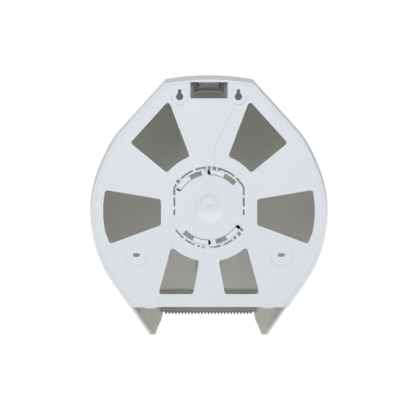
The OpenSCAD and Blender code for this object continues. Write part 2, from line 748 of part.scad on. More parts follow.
tooth_w = 2 * teeth_w / tooth_count;
strip_outline = concat([[teeth_w, -strip_root_z], [strip_w, -strip_root_z], [strip_w, -strip_top_z],
  [-strip_w, -strip_top_z], [-strip_w, -strip_root_z]],
  [for (i = [0:tooth_count - 1])
    each [[i * tooth_w - teeth_w, -strip_root_z],
      [(i + 0.5) * tooth_w - teeth_w, -strip_root_z - tooth_h]]]);
module tear_strip() color(pale) on_wall()
  slab(front_in_w + standoff, front_in_w + standoff + strip_t) difference() {
    polygon(strip_outline);
    for (x = [-strip_screw_x, 0, strip_screw_x]) translate([x, -strip_screw_z])
      circle(r = pilot_r + bezel_gap);
  }
module strip_screws() color("#B8BCBF") on_wall() for (x = [-strip_screw_x, 0, strip_screw_x])
  translate([x, -strip_screw_z, front_in_w + standoff + strip_t]) mirror([0, 0, 1])
    screw(strip_t + wall_t / 2);

module sight_window() color("#8FA3AD") on_wall() slab(front_in_w, front_in_w + pane_t)
  translate([-sight_w - pane_lap, -sight_low_z - pane_lap])
    square([2 * (sight_w + pane_lap), sight_low_z - sight_top_z + 2 * pane_lap]);
module window_retainer() color(white) on_wall()
  slab(front_in_w + pane_t, front_in_w + pane_t + frame_t)
  difference() {
    lap = pane_lap + 2 * frame_lap;
    translate([-sight_w - lap, -sight_low_z - lap + frame_lap])
      square([2 * (sight_w + lap), sight_low_z - sight_top_z + 2 * lap - 2 * frame_lap]);
    translate([-sight_w, -sight_low_z]) square([2 * sight_w, sight_low_z - sight_top_z]);
    for (z = stake_zs) both_sides() translate([stake_x, -z]) circle(r = stake_r + lip_gap);
  }

pin_head_r = 4;
pin_head_t = 2;
pin_tip_gap = 1.5;
clip_t = 0.8;
clip_r = 4.6;
groove_r = 2;
groove_u = lug_in_x + lug_w + bezel_gap;
module hinge_pin() difference() {
  union() {
    rod(lug_in_x - pin_head_t, lug_in_x, pin_head_r);
    rod(lug_in_x - over, lug_in_x + 2 * lug_w - pin_tip_gap, pin_r);
  }
  difference() {
    rod(groove_u, groove_u + clip_t + bezel_gap, pin_r + over);
    rod(groove_u - over, groove_u + clip_t + over, groove_r);
  }
}
module hinge_pin_left() color("#B8BCBF") on_wall() hinge_pin();
module hinge_pin_right() color("#B8BCBF") on_wall() mirror([1, 0, 0]) hinge_pin();
module pin_clips() color("#8D9194") on_wall() both_sides() difference() {
  rod(groove_u, groove_u + clip_t, clip_r);
  rod(groove_u - over, groove_u + clip_t + over, groove_r + lip_gap / 2);
  translate([groove_u - over, -hinge_z - clip_r - over, hinge_w - groove_r / 2])
    cube([clip_t + 2 * over, clip_r, groove_r]);
}

back_plate();
hub_base();
mandrel();
thrust_washer();
brake_ring();
axle_cap();
cap_washer();
cap_screw();
latch_slider();
latch_bow_spring();
latch_guide();
front_cover();
lock_bezel();
tear_strip();
strip_screws();
sight_window();
window_retainer();
hinge_pin_left();
hinge_pin_right();
pin_clips();
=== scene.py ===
"""Looks of the jumbo toilet roll dispenser, seen from the wall side as in the photograph.

Every rigid piece keeps the solid that the frame gives it. A dressed copy of that solid gets
softened moulded edges and its finish, and stands for the node.
"""

import json
import logging
import math
from collections.abc import Callable
from dataclasses import dataclass, field
from enum import Enum

import bpy
import numpy as np
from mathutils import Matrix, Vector

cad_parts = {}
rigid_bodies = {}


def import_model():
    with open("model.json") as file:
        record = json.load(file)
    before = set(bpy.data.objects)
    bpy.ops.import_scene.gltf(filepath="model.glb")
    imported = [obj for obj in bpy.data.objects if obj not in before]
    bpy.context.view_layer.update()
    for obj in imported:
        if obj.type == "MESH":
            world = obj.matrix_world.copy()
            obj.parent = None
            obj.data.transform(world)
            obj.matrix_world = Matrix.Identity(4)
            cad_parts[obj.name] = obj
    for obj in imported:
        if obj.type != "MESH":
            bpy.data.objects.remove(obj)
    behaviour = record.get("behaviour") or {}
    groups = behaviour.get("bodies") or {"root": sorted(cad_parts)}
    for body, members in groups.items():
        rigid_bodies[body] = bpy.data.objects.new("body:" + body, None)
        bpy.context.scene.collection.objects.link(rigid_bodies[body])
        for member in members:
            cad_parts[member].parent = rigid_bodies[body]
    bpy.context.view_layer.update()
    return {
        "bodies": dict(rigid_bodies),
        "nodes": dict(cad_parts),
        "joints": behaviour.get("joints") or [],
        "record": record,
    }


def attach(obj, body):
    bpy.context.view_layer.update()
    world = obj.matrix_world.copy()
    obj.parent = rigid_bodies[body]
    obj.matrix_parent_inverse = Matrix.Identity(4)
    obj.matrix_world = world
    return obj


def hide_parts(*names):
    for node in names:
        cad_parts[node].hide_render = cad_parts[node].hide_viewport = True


LOG = logging.getLogger("dispenser")
MM = 0.001
# Distance below which points of a CAD solid are one
MERGE_MM = 0.002
# Share of the large faces in the normals, in per cent of the modifier's range
FLAT_WEIGHT = 80
# Height of the keyholes above the hub
HUB_DROP_MM = 150.5
HUB = Vector((0, 0, -HUB_DROP_MM * MM))


def linear(code: str) -> tuple[float, float, float, float]:
    """Turns an sRGB hex colour into a linear one.

    Args:
        code: Six hex digits with a leading hash.

    Returns:
        Red, green, blue and an alpha of 1.
    """
    channels = []
    for place in (1, 3, 5):
        share = int(code[place:place + 2], 16) / 255
        channels.append(share / 12.92 if share <= 0.04045 else ((share + 0.055) / 1.055) ** 2.4)
    return (*channels, 1.0)


def add_node(tree: bpy.types.NodeTree, kind: str, inputs: dict = None, **settings) -> bpy.types.Node:
    """Adds a node with its settings and its inputs, each a value or a socket to link from.

    Args:
        tree: The node tree that gets the node.
        kind: The node's type name.
        inputs: Input names or numbers with their values or source sockets.
        **settings: Properties of the node.

    Returns:
        The new node.
    """
    node = tree.nodes.new(kind)
    for name, value in settings.items():
        setattr(node, name, value)
    for name, value in (inputs or {}).items():
        if isinstance(value, bpy.types.NodeSocket):
            tree.links.new(value, node.inputs[name])
        else:
            node.inputs[name].default_value = value
    return node


def new_material(name: str) -> bpy.types.Material:
    """Adds a material with an empty node tree."""
    material = bpy.data.materials.new(name)
    material.use_nodes = True
    material.node_tree.nodes.clear()
    return material


def add_noise(tree: bpy.types.NodeTree, size_mm: float, detail: float,
              roughness: float = 0.5) -> bpy.types.NodeSocket:
    """Adds a noise of a real size that stays with the piece.

    Args:
        tree: The node tree to add to.
        size_mm: Size of its largest spots.
        detail: How many finer layers lie over them.
        roughness: How strong these layers are.

    Returns:
        A socket with its value.
    """
    place = add_node(tree, "ShaderNodeTexCoord").outputs["Object"]
    return add_node(tree, "ShaderNodeTexNoise", {
        "Vector": place, "Scale": 1 / (size_mm * MM), "Detail": detail,
        "Roughness": roughness}).outputs["Fac"]


def add_tones(tree: bpy.types.NodeTree, share: bpy.types.NodeSocket, first: str,
              second: str) -> bpy.types.NodeSocket:
    """Mixes two hex colours by the share and returns a socket with the colour."""
    return add_node(tree, "ShaderNodeMix", {
        "Factor": share, 6: linear(first), 7: linear(second)}, data_type="RGBA").outputs[2]


def add_surface(tree: bpy.types.NodeTree, inputs: dict) -> None:
    """Adds the surface with these inputs and the material's output."""
    surface = add_node(tree, "ShaderNodeBsdfPrincipled", inputs)
    add_node(tree, "ShaderNodeOutputMaterial", {"Surface": surface.outputs["BSDF"]})


@dataclass(frozen=True)
class MouldedPlastic:
    """Injection-moulded plastic: a near-white body colour with faint flow tone and fine grain.

    The flow tone shifts the colour slowly over the piece, and the grain breaks the gloss up as
    a spark-eroded mould surface does.

    Attributes:
        name: Name of the material.
        colour: Body colour.
        flow_colour: Colour where the plastic flowed in last.
        roughness: Mean roughness of the surface.
        grain_mm: Size of the grain.
        grain_height_mm: Its height.
        grain_strength: How strongly it turns the light.
        grain_range: Values of the grain between which the gloss changes.
        gloss_range: Change of the roughness at these values.
        flow_mm: Size of the flow tone's spots.
        refraction: Refractive index.
    """

    name: str
    colour: str
    flow_colour: str
    roughness: float = 0.42
    grain_mm: float = 0.9
    grain_height_mm: float = 0.012
    grain_strength: float = 0.35
    grain_range: tuple[float, float] = (0.3, 0.7)
    gloss_range: tuple[float, float] = (-0.05, 0.07)
    flow_mm: float = 70.0
    refraction: float = 1.53

    def make(self) -> bpy.types.Material:
        """Builds the material.

        Returns:
            The material, ready to be assigned.
        """
        material = new_material(self.name)
        tree = material.node_tree
        flow = add_noise(tree, self.flow_mm, 2.0)
        grain = add_noise(tree, self.grain_mm, 3.0, 0.6)
        gloss = add_node(tree, "ShaderNodeMapRange", {
            "Value": grain, "From Min": self.grain_range[0], "From Max": self.grain_range[1],
            "To Min": self.roughness + self.gloss_range[0],
            "To Max": self.roughness + self.gloss_range[1]})
        bump = add_node(tree, "ShaderNodeBump", {
            "Height": grain, "Strength": self.grain_strength,
            "Distance": self.grain_height_mm * MM})
        add_surface(tree, {
            "Base Color": add_tones(tree, flow, self.colour, self.flow_colour),
            "Roughness": gloss.outputs["Result"], "Normal": bump.outputs["Normal"],
            "IOR": self.refraction})
        return material


@dataclass(frozen=True)
class PlatedSteel:
    """Zinc-plated steel with the fine turning marks of small screws and pins.

    Attributes:
        name: Name of the material.
        colour: Colour of the plating.
        dark_colour: Colour in the marks.
        roughness: Mean roughness.
        gloss_range: Change of the roughness between the plating and its marks.
        mark_mm: Size of the marks.
    """

    name: str
    colour: str
    dark_colour: str
    roughness: float = 0.32
    gloss_range: tuple[float, float] = (-0.1, 0.15)
    mark_mm: float = 0.5

    def make(self) -> bpy.types.Material:
        """Builds the material.

        Returns:
            The material, ready to be assigned.
        """
        material = new_material(self.name)
        tree = material.node_tree
        mark = add_noise(tree, self.mark_mm, 4.0, 0.65)
        gloss = add_node(tree, "ShaderNodeMapRange", {
            "Value": mark, "To Min": self.roughness + self.gloss_range[0],
            "To Max": self.roughness + self.gloss_range[1]})
        add_surface(tree, {
            "Base Color": add_tones(tree, mark, self.colour, self.dark_colour),
            "Roughness": gloss.outputs["Result"], "Metallic": 1.0})
        return material


@dataclass(frozen=True)
class ClearPane:
    """Smoky clear polycarbonate of the level window.

    Attributes:
        name: Name of the material.
        colour: Tint of the pane.
        roughness: Least and greatest roughness.
        haze_mm: Size of the spots of haze.
        clearness: Share of the light that goes through.
        refraction: Refractive index.
    """

    name: str
    colour: str
    roughness: tuple[float, float] = (0.08, 0.2)
    haze_mm: float = 18.0
    clearness: float = 0.85
    refraction: float = 1.58

    def make(self) -> bpy.types.Material:
        """Builds the material.

        Returns:
            The material, ready to be assigned.
        """
        material = new_material(self.name)
        tree = material.node_tree
        gloss = add_node(tree, "ShaderNodeMapRange", {
            "Value": add_noise(tree, self.haze_mm, 3.0), "To Min": self.roughness[0],
            "To Max": self.roughness[1]})
        add_surface(tree, {
            "Base Color": linear(self.colour), "Roughness": gloss.outputs["Result"],
            "IOR": self.refraction, "Transmission Weight": self.clearness})
        return material


class Finish(Enum):
    """Finishes of the dispenser's pieces."""

    # Moulded ABS, fine satin: cool white with a soft, wide sheen.
    PLATE = MouldedPlastic("moulded_abs_plate", "#E2E7EA", "#DDE3E7", roughness=0.45)
    # Moulded ABS from a polished tool: greyer white, a tighter sheen on the bevel.
    SHELL = MouldedPlastic("moulded_abs_cover", "#C9CACF", "#C4C5CB", roughness=0.38)
    # The cover's inside, moulded ABS left matte by the tool: warm white with a weak sheen.
    LINING = MouldedPlastic("moulded_abs_cover_inside", "#E8E6DF", "#E2E0D9", roughness=0.55)
    # Moulded ABS of the tear strip: warm mid grey as painted shade inside the cover, with a weak
    # sheen.
    STRIP = MouldedPlastic("tear_strip_painted_shade", "#A8A7A0", "#A2A19A", roughness=0.5)
    # Moulded off-white ABS of the pieces inside: a shade greyer than the plate, half matte.
    INNER = MouldedPlastic("moulded_abs_inner", "#D9DBDA", "#D3D5D4", roughness=0.5)
    # Moulded acetal: ivory and slightly waxy.
    ACETAL = MouldedPlastic("moulded_acetal", "#C9C7BE", "#C1BFB5", roughness=0.4)
    # Thin moulded acetal of the bow: mid grey as painted shade of the pocket, paler than the slider
    # above it.
    SPRING_SHADE = MouldedPlastic("acetal_spring_painted_shade", "#888781", "#807F79", roughness=0.45)
    # Moulded acetal rails: waxy, warm mid grey as painted shade of the deep pocket.
    GUIDE = MouldedPlastic("guide_rails_painted_shade", "#7F7E78", "#787771", roughness=0.5)
    # Downward faces inside the legs, ABS: the cleanest white of the cover, as painted light where
    # they catch the lamps.
    LEG_EDGE_LIGHT = MouldedPlastic("leg_edge_painted_light", "#E8ECF3", "#E3E7EE", roughness=0.5)
    # Moulded ABS of the teeth, darker than the strip: painted shade, so that the points stand out.
    TEETH_SHADE = MouldedPlastic("teeth_painted_shade", "#77766F", "#706F69", roughness=0.5)
    # Moulded ABS hub, a little brighter than the plate round it.
    HUB = MouldedPlastic("moulded_abs_hub", "#E6EAEC", "#E1E6E9", roughness=0.42)
    # Moulded acetal, dark as painted shade of the pocket: a low, even sheen.
    SLIDER = MouldedPlastic("acetal_slider_painted_shade", "#4B4A45", "#444340", roughness=0.5)
    # Moulded black rubber: dull, a wide faint sheen.
    RUBBER = MouldedPlastic("moulded_rubber", "#2A2B2C", "#323334", roughness=0.75)
    # Turned and zinc-plated steel: cool, with a fine brushed glint.
    STEEL = PlatedSteel("zinc_plated_steel", "#B9BDC0", "#8E9295")
    # Moulded clear polycarbonate: a smoky tint, slightly hazy, with narrow highlights.
    PANE = ClearPane("clear_polycarbonate", "#C9D2D6")


MADE: dict[str, bpy.types.Material] = {}


def material_of(finish: Finish) -> bpy.types.Material:
    """Gives the finish's material, made once."""
    if finish.name not in MADE:
        MADE[finish.name] = finish.value.make()
    return MADE[finish.name]


def deselect() -> None:
    """Leaves object mode clean, with nothing selected."""
    if bpy.context.mode != "OBJECT":
        bpy.ops.object.mode_set(mode="OBJECT")
    bpy.ops.object.select_all(action="DESELECT")


def from_hub(point: Vector) -> tuple[float, float]:
    """Gives a point's place about the hub, seen from the wall.

    Args:
        point: The point, in metres.

    Returns:
        Its radius in millimetres and its angle in degrees, from 0 at the right, anticlockwise.
    """
    right, up = -point.x / MM, point.z / MM + HUB_DROP_MM
    return math.hypot(right, up), math.degrees(math.atan2(up, right)) % 360


def pick_points(piece: bpy.types.Object, wanted: Callable[[Vector], bool]) -> None:
    """Enters edit mode with the wanted points selected.

    Args:
        piece: The active piece.
        wanted: Tells from a point's place whether it is wanted.
    """
    bpy.ops.object.mode_set(mode="EDIT")
    bpy.ops.mesh.select_mode(type="VERT")
    bpy.ops.mesh.select_all(action="DESELECT")
    bpy.ops.object.mode_set(mode="OBJECT")
    for point in piece.data.vertices:
        point.select = wanted(point.co)
    bpy.ops.object.mode_set(mode="EDIT")


def pick_faces(piece: bpy.types.Object, wanted: Callable[[Vector, Vector], bool]) -> None:
    """Enters edit mode with the wanted faces selected.

    Args:
        piece: The active piece.
        wanted: Tells from a face's centre and normal whether it is wanted.
    """
    bpy.ops.object.mode_set(mode="EDIT")
    bpy.ops.mesh.select_mode(type="FACE")
    bpy.ops.mesh.select_all(action="DESELECT")
    bpy.ops.object.mode_set(mode="OBJECT")
    for face in piece.data.polygons:
        face.select = wanted(face.center, face.normal)
    bpy.ops.object.mode_set(mode="EDIT")


@dataclass(frozen=True)
class RingBlock:
    """A block across the slots round the hub.

    Attributes:
        start: Angle at which it starts, in degrees.
        end: Angle at which it ends.
        inner: Radius of its inner side, in millimetres.
        outer: Radius of its outer side.
    """

    start: float
    end: float
    inner: float
    outer: float

    def build(self, back_mm: float, front_mm: float) -> bpy.types.Object:
        """Adds the block.

        Args:
            back_mm: Depth of its wall side, along Y.
            front_mm: Depth of its room side, along Y.

        Returns:
            The block.
        """
        angle = math.radians((self.start + self.end) / 2)
        middle = (self.inner + self.outer) / 2 * MM
        place = HUB + Vector((-math.cos(angle), 0, math.sin(angle))) * middle
        place.y = (back_mm + front_mm) / 2 * MM
        width = 2 * middle * math.tan(math.radians(self.end - self.start) / 2)
        deselect()
        bpy.ops.mesh.primitive_cube_add(size=1, location=place, rotation=(0, angle - math.pi / 2, 0),
                                        scale=(width, (back_mm - front_mm) * MM,
                                               (self.outer - self.inner) * MM))
        return bpy.context.object


def combine(piece: bpy.types.Object, blocks: list[bpy.types.Object], operation: str) -> None:
    """Joins the blocks into one tool and adds it to or cuts it from the piece.

    Args:
        piece: The piece, which is left active and selected.
        blocks: The blocks, which are used up.
        operation: UNION or DIFFERENCE.
    """
    deselect()
    for block in blocks:
        block.select_set(True)
    bpy.context.view_layer.objects.active = blocks[0]
    bpy.ops.object.join()
    tool = bpy.context.view_layer.objects.active
    bpy.ops.object.transform_apply(location=True, rotation=True, scale=True)
    deselect()
    piece.select_set(True)
    bpy.context.view_layer.objects.active = piece
    bpy.ops.object.modifier_add(type="BOOLEAN")
    change = piece.modifiers[-1]
    change.operation = operation
    change.solver = "EXACT"
    change.object = tool
    bpy.ops.object.modifier_apply(modifier=change.name)
    deselect()
    tool.select_set(True)
    bpy.ops.object.delete()
    piece.select_set(True)
    bpy.context.view_layer.objects.active = piece


@dataclass
class DressedNode:
    """A copy of a CAD node's solid with softened edges and a finish.

    Attributes:
        node: The CAD node.
        finish: The finish of the copy.
        slot: Name of the record's material slot for the node; not used.
        edge_mm: Width of the softened edges.
        crease: Angle in degrees above which an edge counts as an edge.
        steps: Segments across a softened edge.
        shape: What else is modelled on the copy before its edges are softened.
    """

    node: str
    finish: Finish
    slot: str
    edge_mm: float = 0.35
    crease: float = 28.0
    steps: int = 2
    shape: Callable[[bpy.types.Object], None] | None = None

    def build(self, frame: dict, body: str) -> bpy.types.Object:
        """Makes the copy and lets it stand for the node.

        Args:
            body: The CAD body that the piece rides on.

        Returns:
            The dressed piece.
        """
        deselect()
        source = frame["nodes"][self.node]
        source.select_set(True)
        bpy.context.view_layer.objects.active = source
        bpy.ops.object.duplicate(linked=False)
        piece = bpy.context.view_layer.objects.active
        piece.name = self.node + "_dressed"
        piece.data.name = piece.name
        bpy.ops.object.mode_set(mode="EDIT")
        bpy.ops.mesh.select_all(action="SELECT")
        bpy.ops.mesh.remove_doubles(threshold=MERGE_MM * MM)
        bpy.ops.object.mode_set(mode="OBJECT")
        piece.data.materials.clear()
        piece.data.materials.append(material_of(self.finish))
        if self.shape:
            self.shape(piece)
        if self.edge_mm > 0:
            bpy.ops.object.modifier_add(type="BEVEL")
            bevel = piece.modifiers[-1]
            bevel.width = self.edge_mm * MM
            bevel.segments = self.steps
            bevel.limit_method = "ANGLE"
            bevel.angle_limit = math.radians(self.crease)
            bevel.use_clamp_overlap = True
            bevel.harden_normals = False
            bpy.ops.object.modifier_apply(modifier=bevel.name)
        bpy.ops.object.shade_smooth_by_angle(angle=math.radians(self.crease))
        bpy.ops.object.modifier_add(type="WEIGHTED_NORMAL")
        flat = piece.modifiers[-1]
        flat.mode = "FACE_AREA"
        flat.weight = FLAT_WEIGHT
        flat.keep_sharp = True
        bpy.ops.object.modifier_apply(modifier=flat.name)
        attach(piece, body)
        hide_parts(self.node)
        LOG.info("%s: %d faces", piece.name, len(piece.data.polygons))
        return piece


@dataclass
class PlateHub:
    """The middle of the plate's wall side: a shallow dish and the uneven slots round it.

    Attributes:
        rim_mm: Radius of the dish.
        rim_drop_mm: How far the rim's centre lies below the hub.
        rings: Radius, depth, rise and tilt of each ring of the dish, inwards, the mould's gate last.
        skin_mm: Depth of the plate's wall side, along Y.
        back_mm: Depth of its room side.
        cuts: Openings that the slots have besides those of the solid.
        bridges: Places where the slots are closed.
    """

    rim_mm: float = 19.7
    rim_drop_mm: float = 1.2
    rings: tuple[tuple[float, float, float, float], ...] = (
        (18.7, 0.4, 0.3, 1), (16.2, 1.4, 1.1, 2), (13.4, 2.6, 2.1, 4), (11.4, 3.3, 2.8, 5),
        (10.2, 3.4, 3.1, 5), (2.2, 3.4, 3.1, 5), (1.6, 3.0, 3.1, 5))
    skin_mm: float = -1.5
    back_mm: float = -4.5
    cuts: tuple[RingBlock, ...] = (
        RingBlock(65.4, 70.6, 53.2, 55.6), RingBlock(73.5, 76.8, 51.4, 55.0),
        RingBlock(79.4, 84.8, 51.0, 54.6), RingBlock(87.8, 92.0, 51.4, 56.0),
        RingBlock(95.4, 97.4, 50.2, 54.0), RingBlock(128.4, 133.6, 53.2, 55.6),
        RingBlock(137.4, 142.6, 52.4, 57.4), RingBlock(259.6, 264.4, 52.4, 56.4),
        RingBlock(269.6, 276.6, 53.0, 55.6), RingBlock(308.2, 312.4, 52.2, 56.6),
        RingBlock(316.2, 320.8, 52.2, 57.2), RingBlock(323.8, 327.4, 51.6, 56.0))
    bridges: tuple[RingBlock, ...] = (
        RingBlock(77.0, 79.2, 52.4, 56.4), RingBlock(85.0, 86.8, 52.4, 56.4),
        RingBlock(134.4, 137.2, 52.4, 56.6), RingBlock(142.8, 144.8, 52.4, 56.6),
        RingBlock(256.4, 259.4, 52.4, 56.4), RingBlock(264.6, 269.4, 52.4, 56.4),
        RingBlock(312.6, 316.0, 52.4, 56.6), RingBlock(321.0, 323.6, 52.4, 56.6))

    def dish(self, plate: bpy.types.Object) -> None:
        """Turns the cone at the hub into a dish that rises to a small gate in its middle."""
        near = 0.2
        to_wall = 0.3
        pick_faces(plate, lambda centre, normal: normal.y > to_wall
                   and from_hub(centre)[0] < self.rim_mm)
        bpy.ops.mesh.delete(type="FACE")
        bpy.ops.object.mode_set(mode="OBJECT")
        pick_points(plate, lambda point: abs(from_hub(point)[0] - self.rim_mm) < near
                    and point.y > (self.skin_mm - near) * MM)
        bpy.ops.transform.translate(value=(0, 0, -self.rim_drop_mm * MM))
        bpy.ops.mesh.select_all(action="DESELECT")
        bpy.ops.mesh.select_mode(type="EDGE")
        bpy.ops.mesh.select_non_manifold(extend=False, use_wire=False, use_boundary=True,
                                         use_multi_face=False, use_non_contiguous=False,
                                         use_verts=False)
        bpy.ops.mesh.edge_face_add()
        centre = HUB + Vector((0, self.skin_mm * MM, -self.rim_drop_mm * MM))
        radius, depth, rise, tilt = self.rim_mm, 0.0, 0.0, 0.0
        bpy.ops.mesh.select_mode(type="FACE")
        for next_radius, next_depth, next_rise, next_tilt in self.rings:
            step = Vector((0, depth - next_depth, next_rise - rise)) * MM
            share = next_radius / radius
            bpy.ops.mesh.extrude_region_move(TRANSFORM_OT_translate={"value": step})
            centre += step
            bpy.ops.transform.resize(value=(share, 1, share), center_override=centre)
            bpy.ops.transform.rotate(value=math.radians(next_tilt - tilt), orient_axis="X",
                                     center_override=centre)
            radius, depth, rise, tilt = next_radius, next_depth, next_rise, next_tilt
        bpy.ops.object.mode_set(mode="OBJECT")

    def build(self, plate: bpy.types.Object) -> None:
        """Shapes the plate's hub.

        Args:
            plate: The merged copy of the plate.
        """
        self.dish(plate)
        combine(plate, [block.build(self.skin_mm, self.back_mm) for block in self.bridges], "UNION")
        past = 1.0
        combine(plate, [block.build(self.skin_mm + past, self.back_mm - past)
                        for block in self.cuts], "DIFFERENCE")


@dataclass
class HubHooks:
    """The hub's hooks in the plate's curved windows, each with a gap inside and at its end.

    Attributes:
        ends: Angle at which each window ends, seen from the wall.
        inner_mm: Radii between which the hooks' inner sides lie.
        inner_share: How much these sides move outwards.
        outer_mm: Radii between which the hooks' outer sides lie.
        outer_share: How much these sides move outwards.
        end_from: Angle from a window's end to its hook's end, in degrees.
        lip_from: Angle from a window's end to the end of the lip.
        end_to: Angle from a window's end at which both come to lie.
    """

    ends: tuple[float, ...] = (90, 149, 270, 326)
    inner_mm: tuple[float, float] = (44.4, 44.7)
    inner_share: float = 1.011
    outer_mm: tuple[float, float] = (50.15, 50.35)
    outer_share: float = 1.008
    end_from: float = -0.6
    lip_from: float = 3.0
    end_to: float = -1.3

    def pick(self, hub: bpy.types.Object, angle: float) -> None:
        """Selects the hooks' points at one angle, all round the hub's ring.

        Args:
            hub: The merged copy of the hub base.
            angle: The angle in degrees.
        """
        near = 0.25
        low, high = self.inner_mm[0], self.outer_mm[1] + 1
        pick_points(hub, lambda point: low < from_hub(point)[0] < high
                    and abs(from_hub(point)[1] - angle) < near)

    def draw_back(self, hub: bpy.types.Object) -> None:
        """Draws each hook's end and lip back to one place and merges them there."""
        merge = 0.25
        for end in self.ends:
            for start in (self.end_from, self.lip_from):
                self.pick(hub, end + start)
                bpy.ops.transform.rotate(value=math.radians(start - self.end_to), orient_axis="Y",
                                         center_override=HUB)
                bpy.ops.object.mode_set(mode="OBJECT")
            self.pick(hub, end + self.end_to)
            bpy.ops.mesh.remove_doubles(threshold=merge * MM)
            bpy.ops.object.mode_set(mode="OBJECT")

    def build(self, hub: bpy.types.Object) -> None:
        """Shapes the hooks.

        Args:
            hub: The merged copy of the hub base.
        """
        for (low, high), share in ((self.inner_mm, self.inner_share),
                                   (self.outer_mm, self.outer_share)):
            pick_points(hub, lambda point: low < from_hub(point)[0] < high)
            bpy.ops.transform.resize(value=(share, 1, share), center_override=HUB)
            bpy.ops.object.mode_set(mode="OBJECT")
        self.draw_back(hub)


@dataclass
class GuideRails:
    """The latch guide's rails, which stand back in the pocket and close against its sides.

    Attributes:
        face_mm: Depth of the rails' wall side, along Y.
        set_back_mm: How far it moves into the pocket.
        outer_mm: Half-width over the rails.
        widening: How much the rails' outer sides move outwards.
    """

    face_mm: float = -4.5
    set_back_mm: float = 4.8
    outer_mm: float = 22.2
    widening: float = 1.085

    def build(self, guide: bpy.types.Object) -> None:
        """Shapes the rails.

        Args:
            guide: The merged copy of the latch guide.
        """
        near = 0.1
        pick_points(guide, lambda point: point.y > (self.face_mm - near) * MM)
        bpy.ops.transform.translate(value=(0, -self.set_back_mm * MM, 0))
        bpy.ops.object.mode_set(mode="OBJECT")
        pick_points(guide, lambda point: abs(point.x) > (self.outer_mm - near) * MM)
        bpy.ops.transform.resize(value=(self.widening, 1, 1), center_override=(0, 0, 0))
        bpy.ops.object.mode_set(mode="OBJECT")


@dataclass
class WallUnit:
    """The plate on the wall with its hub, latch parts and hinge pins.

    Attributes:
        body: The CAD body that it rides on.
        nodes: Its dressed nodes.
    """

    body: str = "wall_unit"
    nodes: list[DressedNode] = field(default_factory=lambda: [
        DressedNode("back_plate", Finish.PLATE, "plate_abs", edge_mm=0.15, shape=PlateHub().build),
        DressedNode("hub_base", Finish.HUB, "inner_abs", edge_mm=0.3, shape=HubHooks().build),
        DressedNode("thrust_washer", Finish.ACETAL, "acetal", edge_mm=0.2),
        DressedNode("brake_ring", Finish.RUBBER, "rubber", edge_mm=0.2),
        DressedNode("axle_cap", Finish.INNER, "inner_abs", edge_mm=0.4),
        DressedNode("cap_washer", Finish.STEEL, "steel", edge_mm=0.1),
        DressedNode("cap_screw", Finish.STEEL, "steel", edge_mm=0.12),
        # The bow's grey finish is painted shade of the pocket.
        DressedNode("latch_bow_spring", Finish.SPRING_SHADE, "acetal", edge_mm=0.2),
        # The rails' grey finish is painted shade of the pocket.
        DressedNode("latch_guide", Finish.GUIDE, "plate_abs", edge_mm=0.2,
                    shape=GuideRails().build),
        DressedNode("hinge_pin_left", Finish.STEEL, "steel", edge_mm=0.15),
        DressedNode("hinge_pin_right", Finish.STEEL, "steel", edge_mm=0.15),
        DressedNode("pin_clips", Finish.STEEL, "steel", edge_mm=0.08),
    ])

    def build(self, frame: dict) -> None:
        """Dresses the unit's nodes."""
        for node in self.nodes:
            node.build(frame, self.body)


@dataclass
class Cover:
    """The hinged cover with its tear strip, key bezel and level window.

    Attributes:
        body: The CAD body that it rides on.
        outside_mm: How far inside the convex form a face still counts as outside.
        legs_below_mm: Distance below the hub at which the legs begin.
        outward: Share of a face's normal from which it counts as facing outwards or down.
        teeth_below_mm: Distance below the hub at which the teeth begin.
        nodes: Its dressed nodes.
    """

    body: str = "cover"
    outside_mm: float = 0.6
    legs_below_mm: float = 112.0
    outward: float = 0.25
    teeth_below_mm: float = 149.9
    nodes: list[DressedNode] = field(default_factory=lambda: [
        DressedNode("front_cover", Finish.SHELL, "shell_abs", edge_mm=0.5),
        DressedNode("lock_bezel", Finish.SHELL, "shell_abs", edge_mm=0.2),
        # The tear strip's grey finish is painted shade inside the cover.
        DressedNode("tear_strip", Finish.STRIP, "inner_abs", edge_mm=0.2),
        DressedNode("strip_screws", Finish.STEEL, "steel", edge_mm=0.12),
        DressedNode("sight_window", Finish.PANE, "clear_pane", edge_mm=0.2),
        DressedNode("window_retainer", Finish.INNER, "inner_abs", edge_mm=0.2),
    ])

    def line(self, shell: bpy.types.Object) -> None:
        """Gives the cover's inside its own finish, and the downward faces inside its legs a whiter
        one that paints light on them.

        The outside faces bound the cover's convex form, but for the flared outsides of its legs.

        Args:
            shell: The dressed cover.
        """
        mesh = shell.data
        mesh.materials.append(material_of(Finish.LINING))
        mesh.materials.append(material_of(Finish.LEG_EDGE_LIGHT))
        points = np.empty(len(mesh.vertices) * 3)
        mesh.vertices.foreach_get("co", points)
        points = points.reshape(-1, 3)
        for face in mesh.polygons:
            normal = np.array(face.normal)
            reach = np.array(face.center) @ normal
            on_leg = face.center.z - HUB.z < -self.legs_below_mm * MM
            faces_out = face.normal.x * math.copysign(1, face.center.x) > self.outward
            if (points @ normal).max() > reach + self.outside_mm * MM and not (on_leg and faces_out):
                # Downward faces inside the legs get the whiter finish: painted light.
                face.material_index = 2 if on_leg and face.normal.z < -self.outward else 1

    def paint_teeth_shade(self, strip: bpy.types.Object) -> None:
        """Gives the strip's teeth a darker finish, which paints shade on them.

        Args:
            strip: The dressed tear strip.
        """
        strip.data.materials.append(material_of(Finish.TEETH_SHADE))
        for face in strip.data.polygons:
            if face.center.z - HUB.z < -self.teeth_below_mm * MM:
                # Faces below the roots get the darker finish: painted shade.
                face.material_index = 1

    def build(self, frame: dict) -> None:
        """Dresses the cover's nodes."""
        for node in self.nodes:
            piece = node.build(frame, self.body)
            if node.node == "front_cover":
                self.line(piece)
            elif node.node == "tear_strip":
                self.paint_teeth_shade(piece)


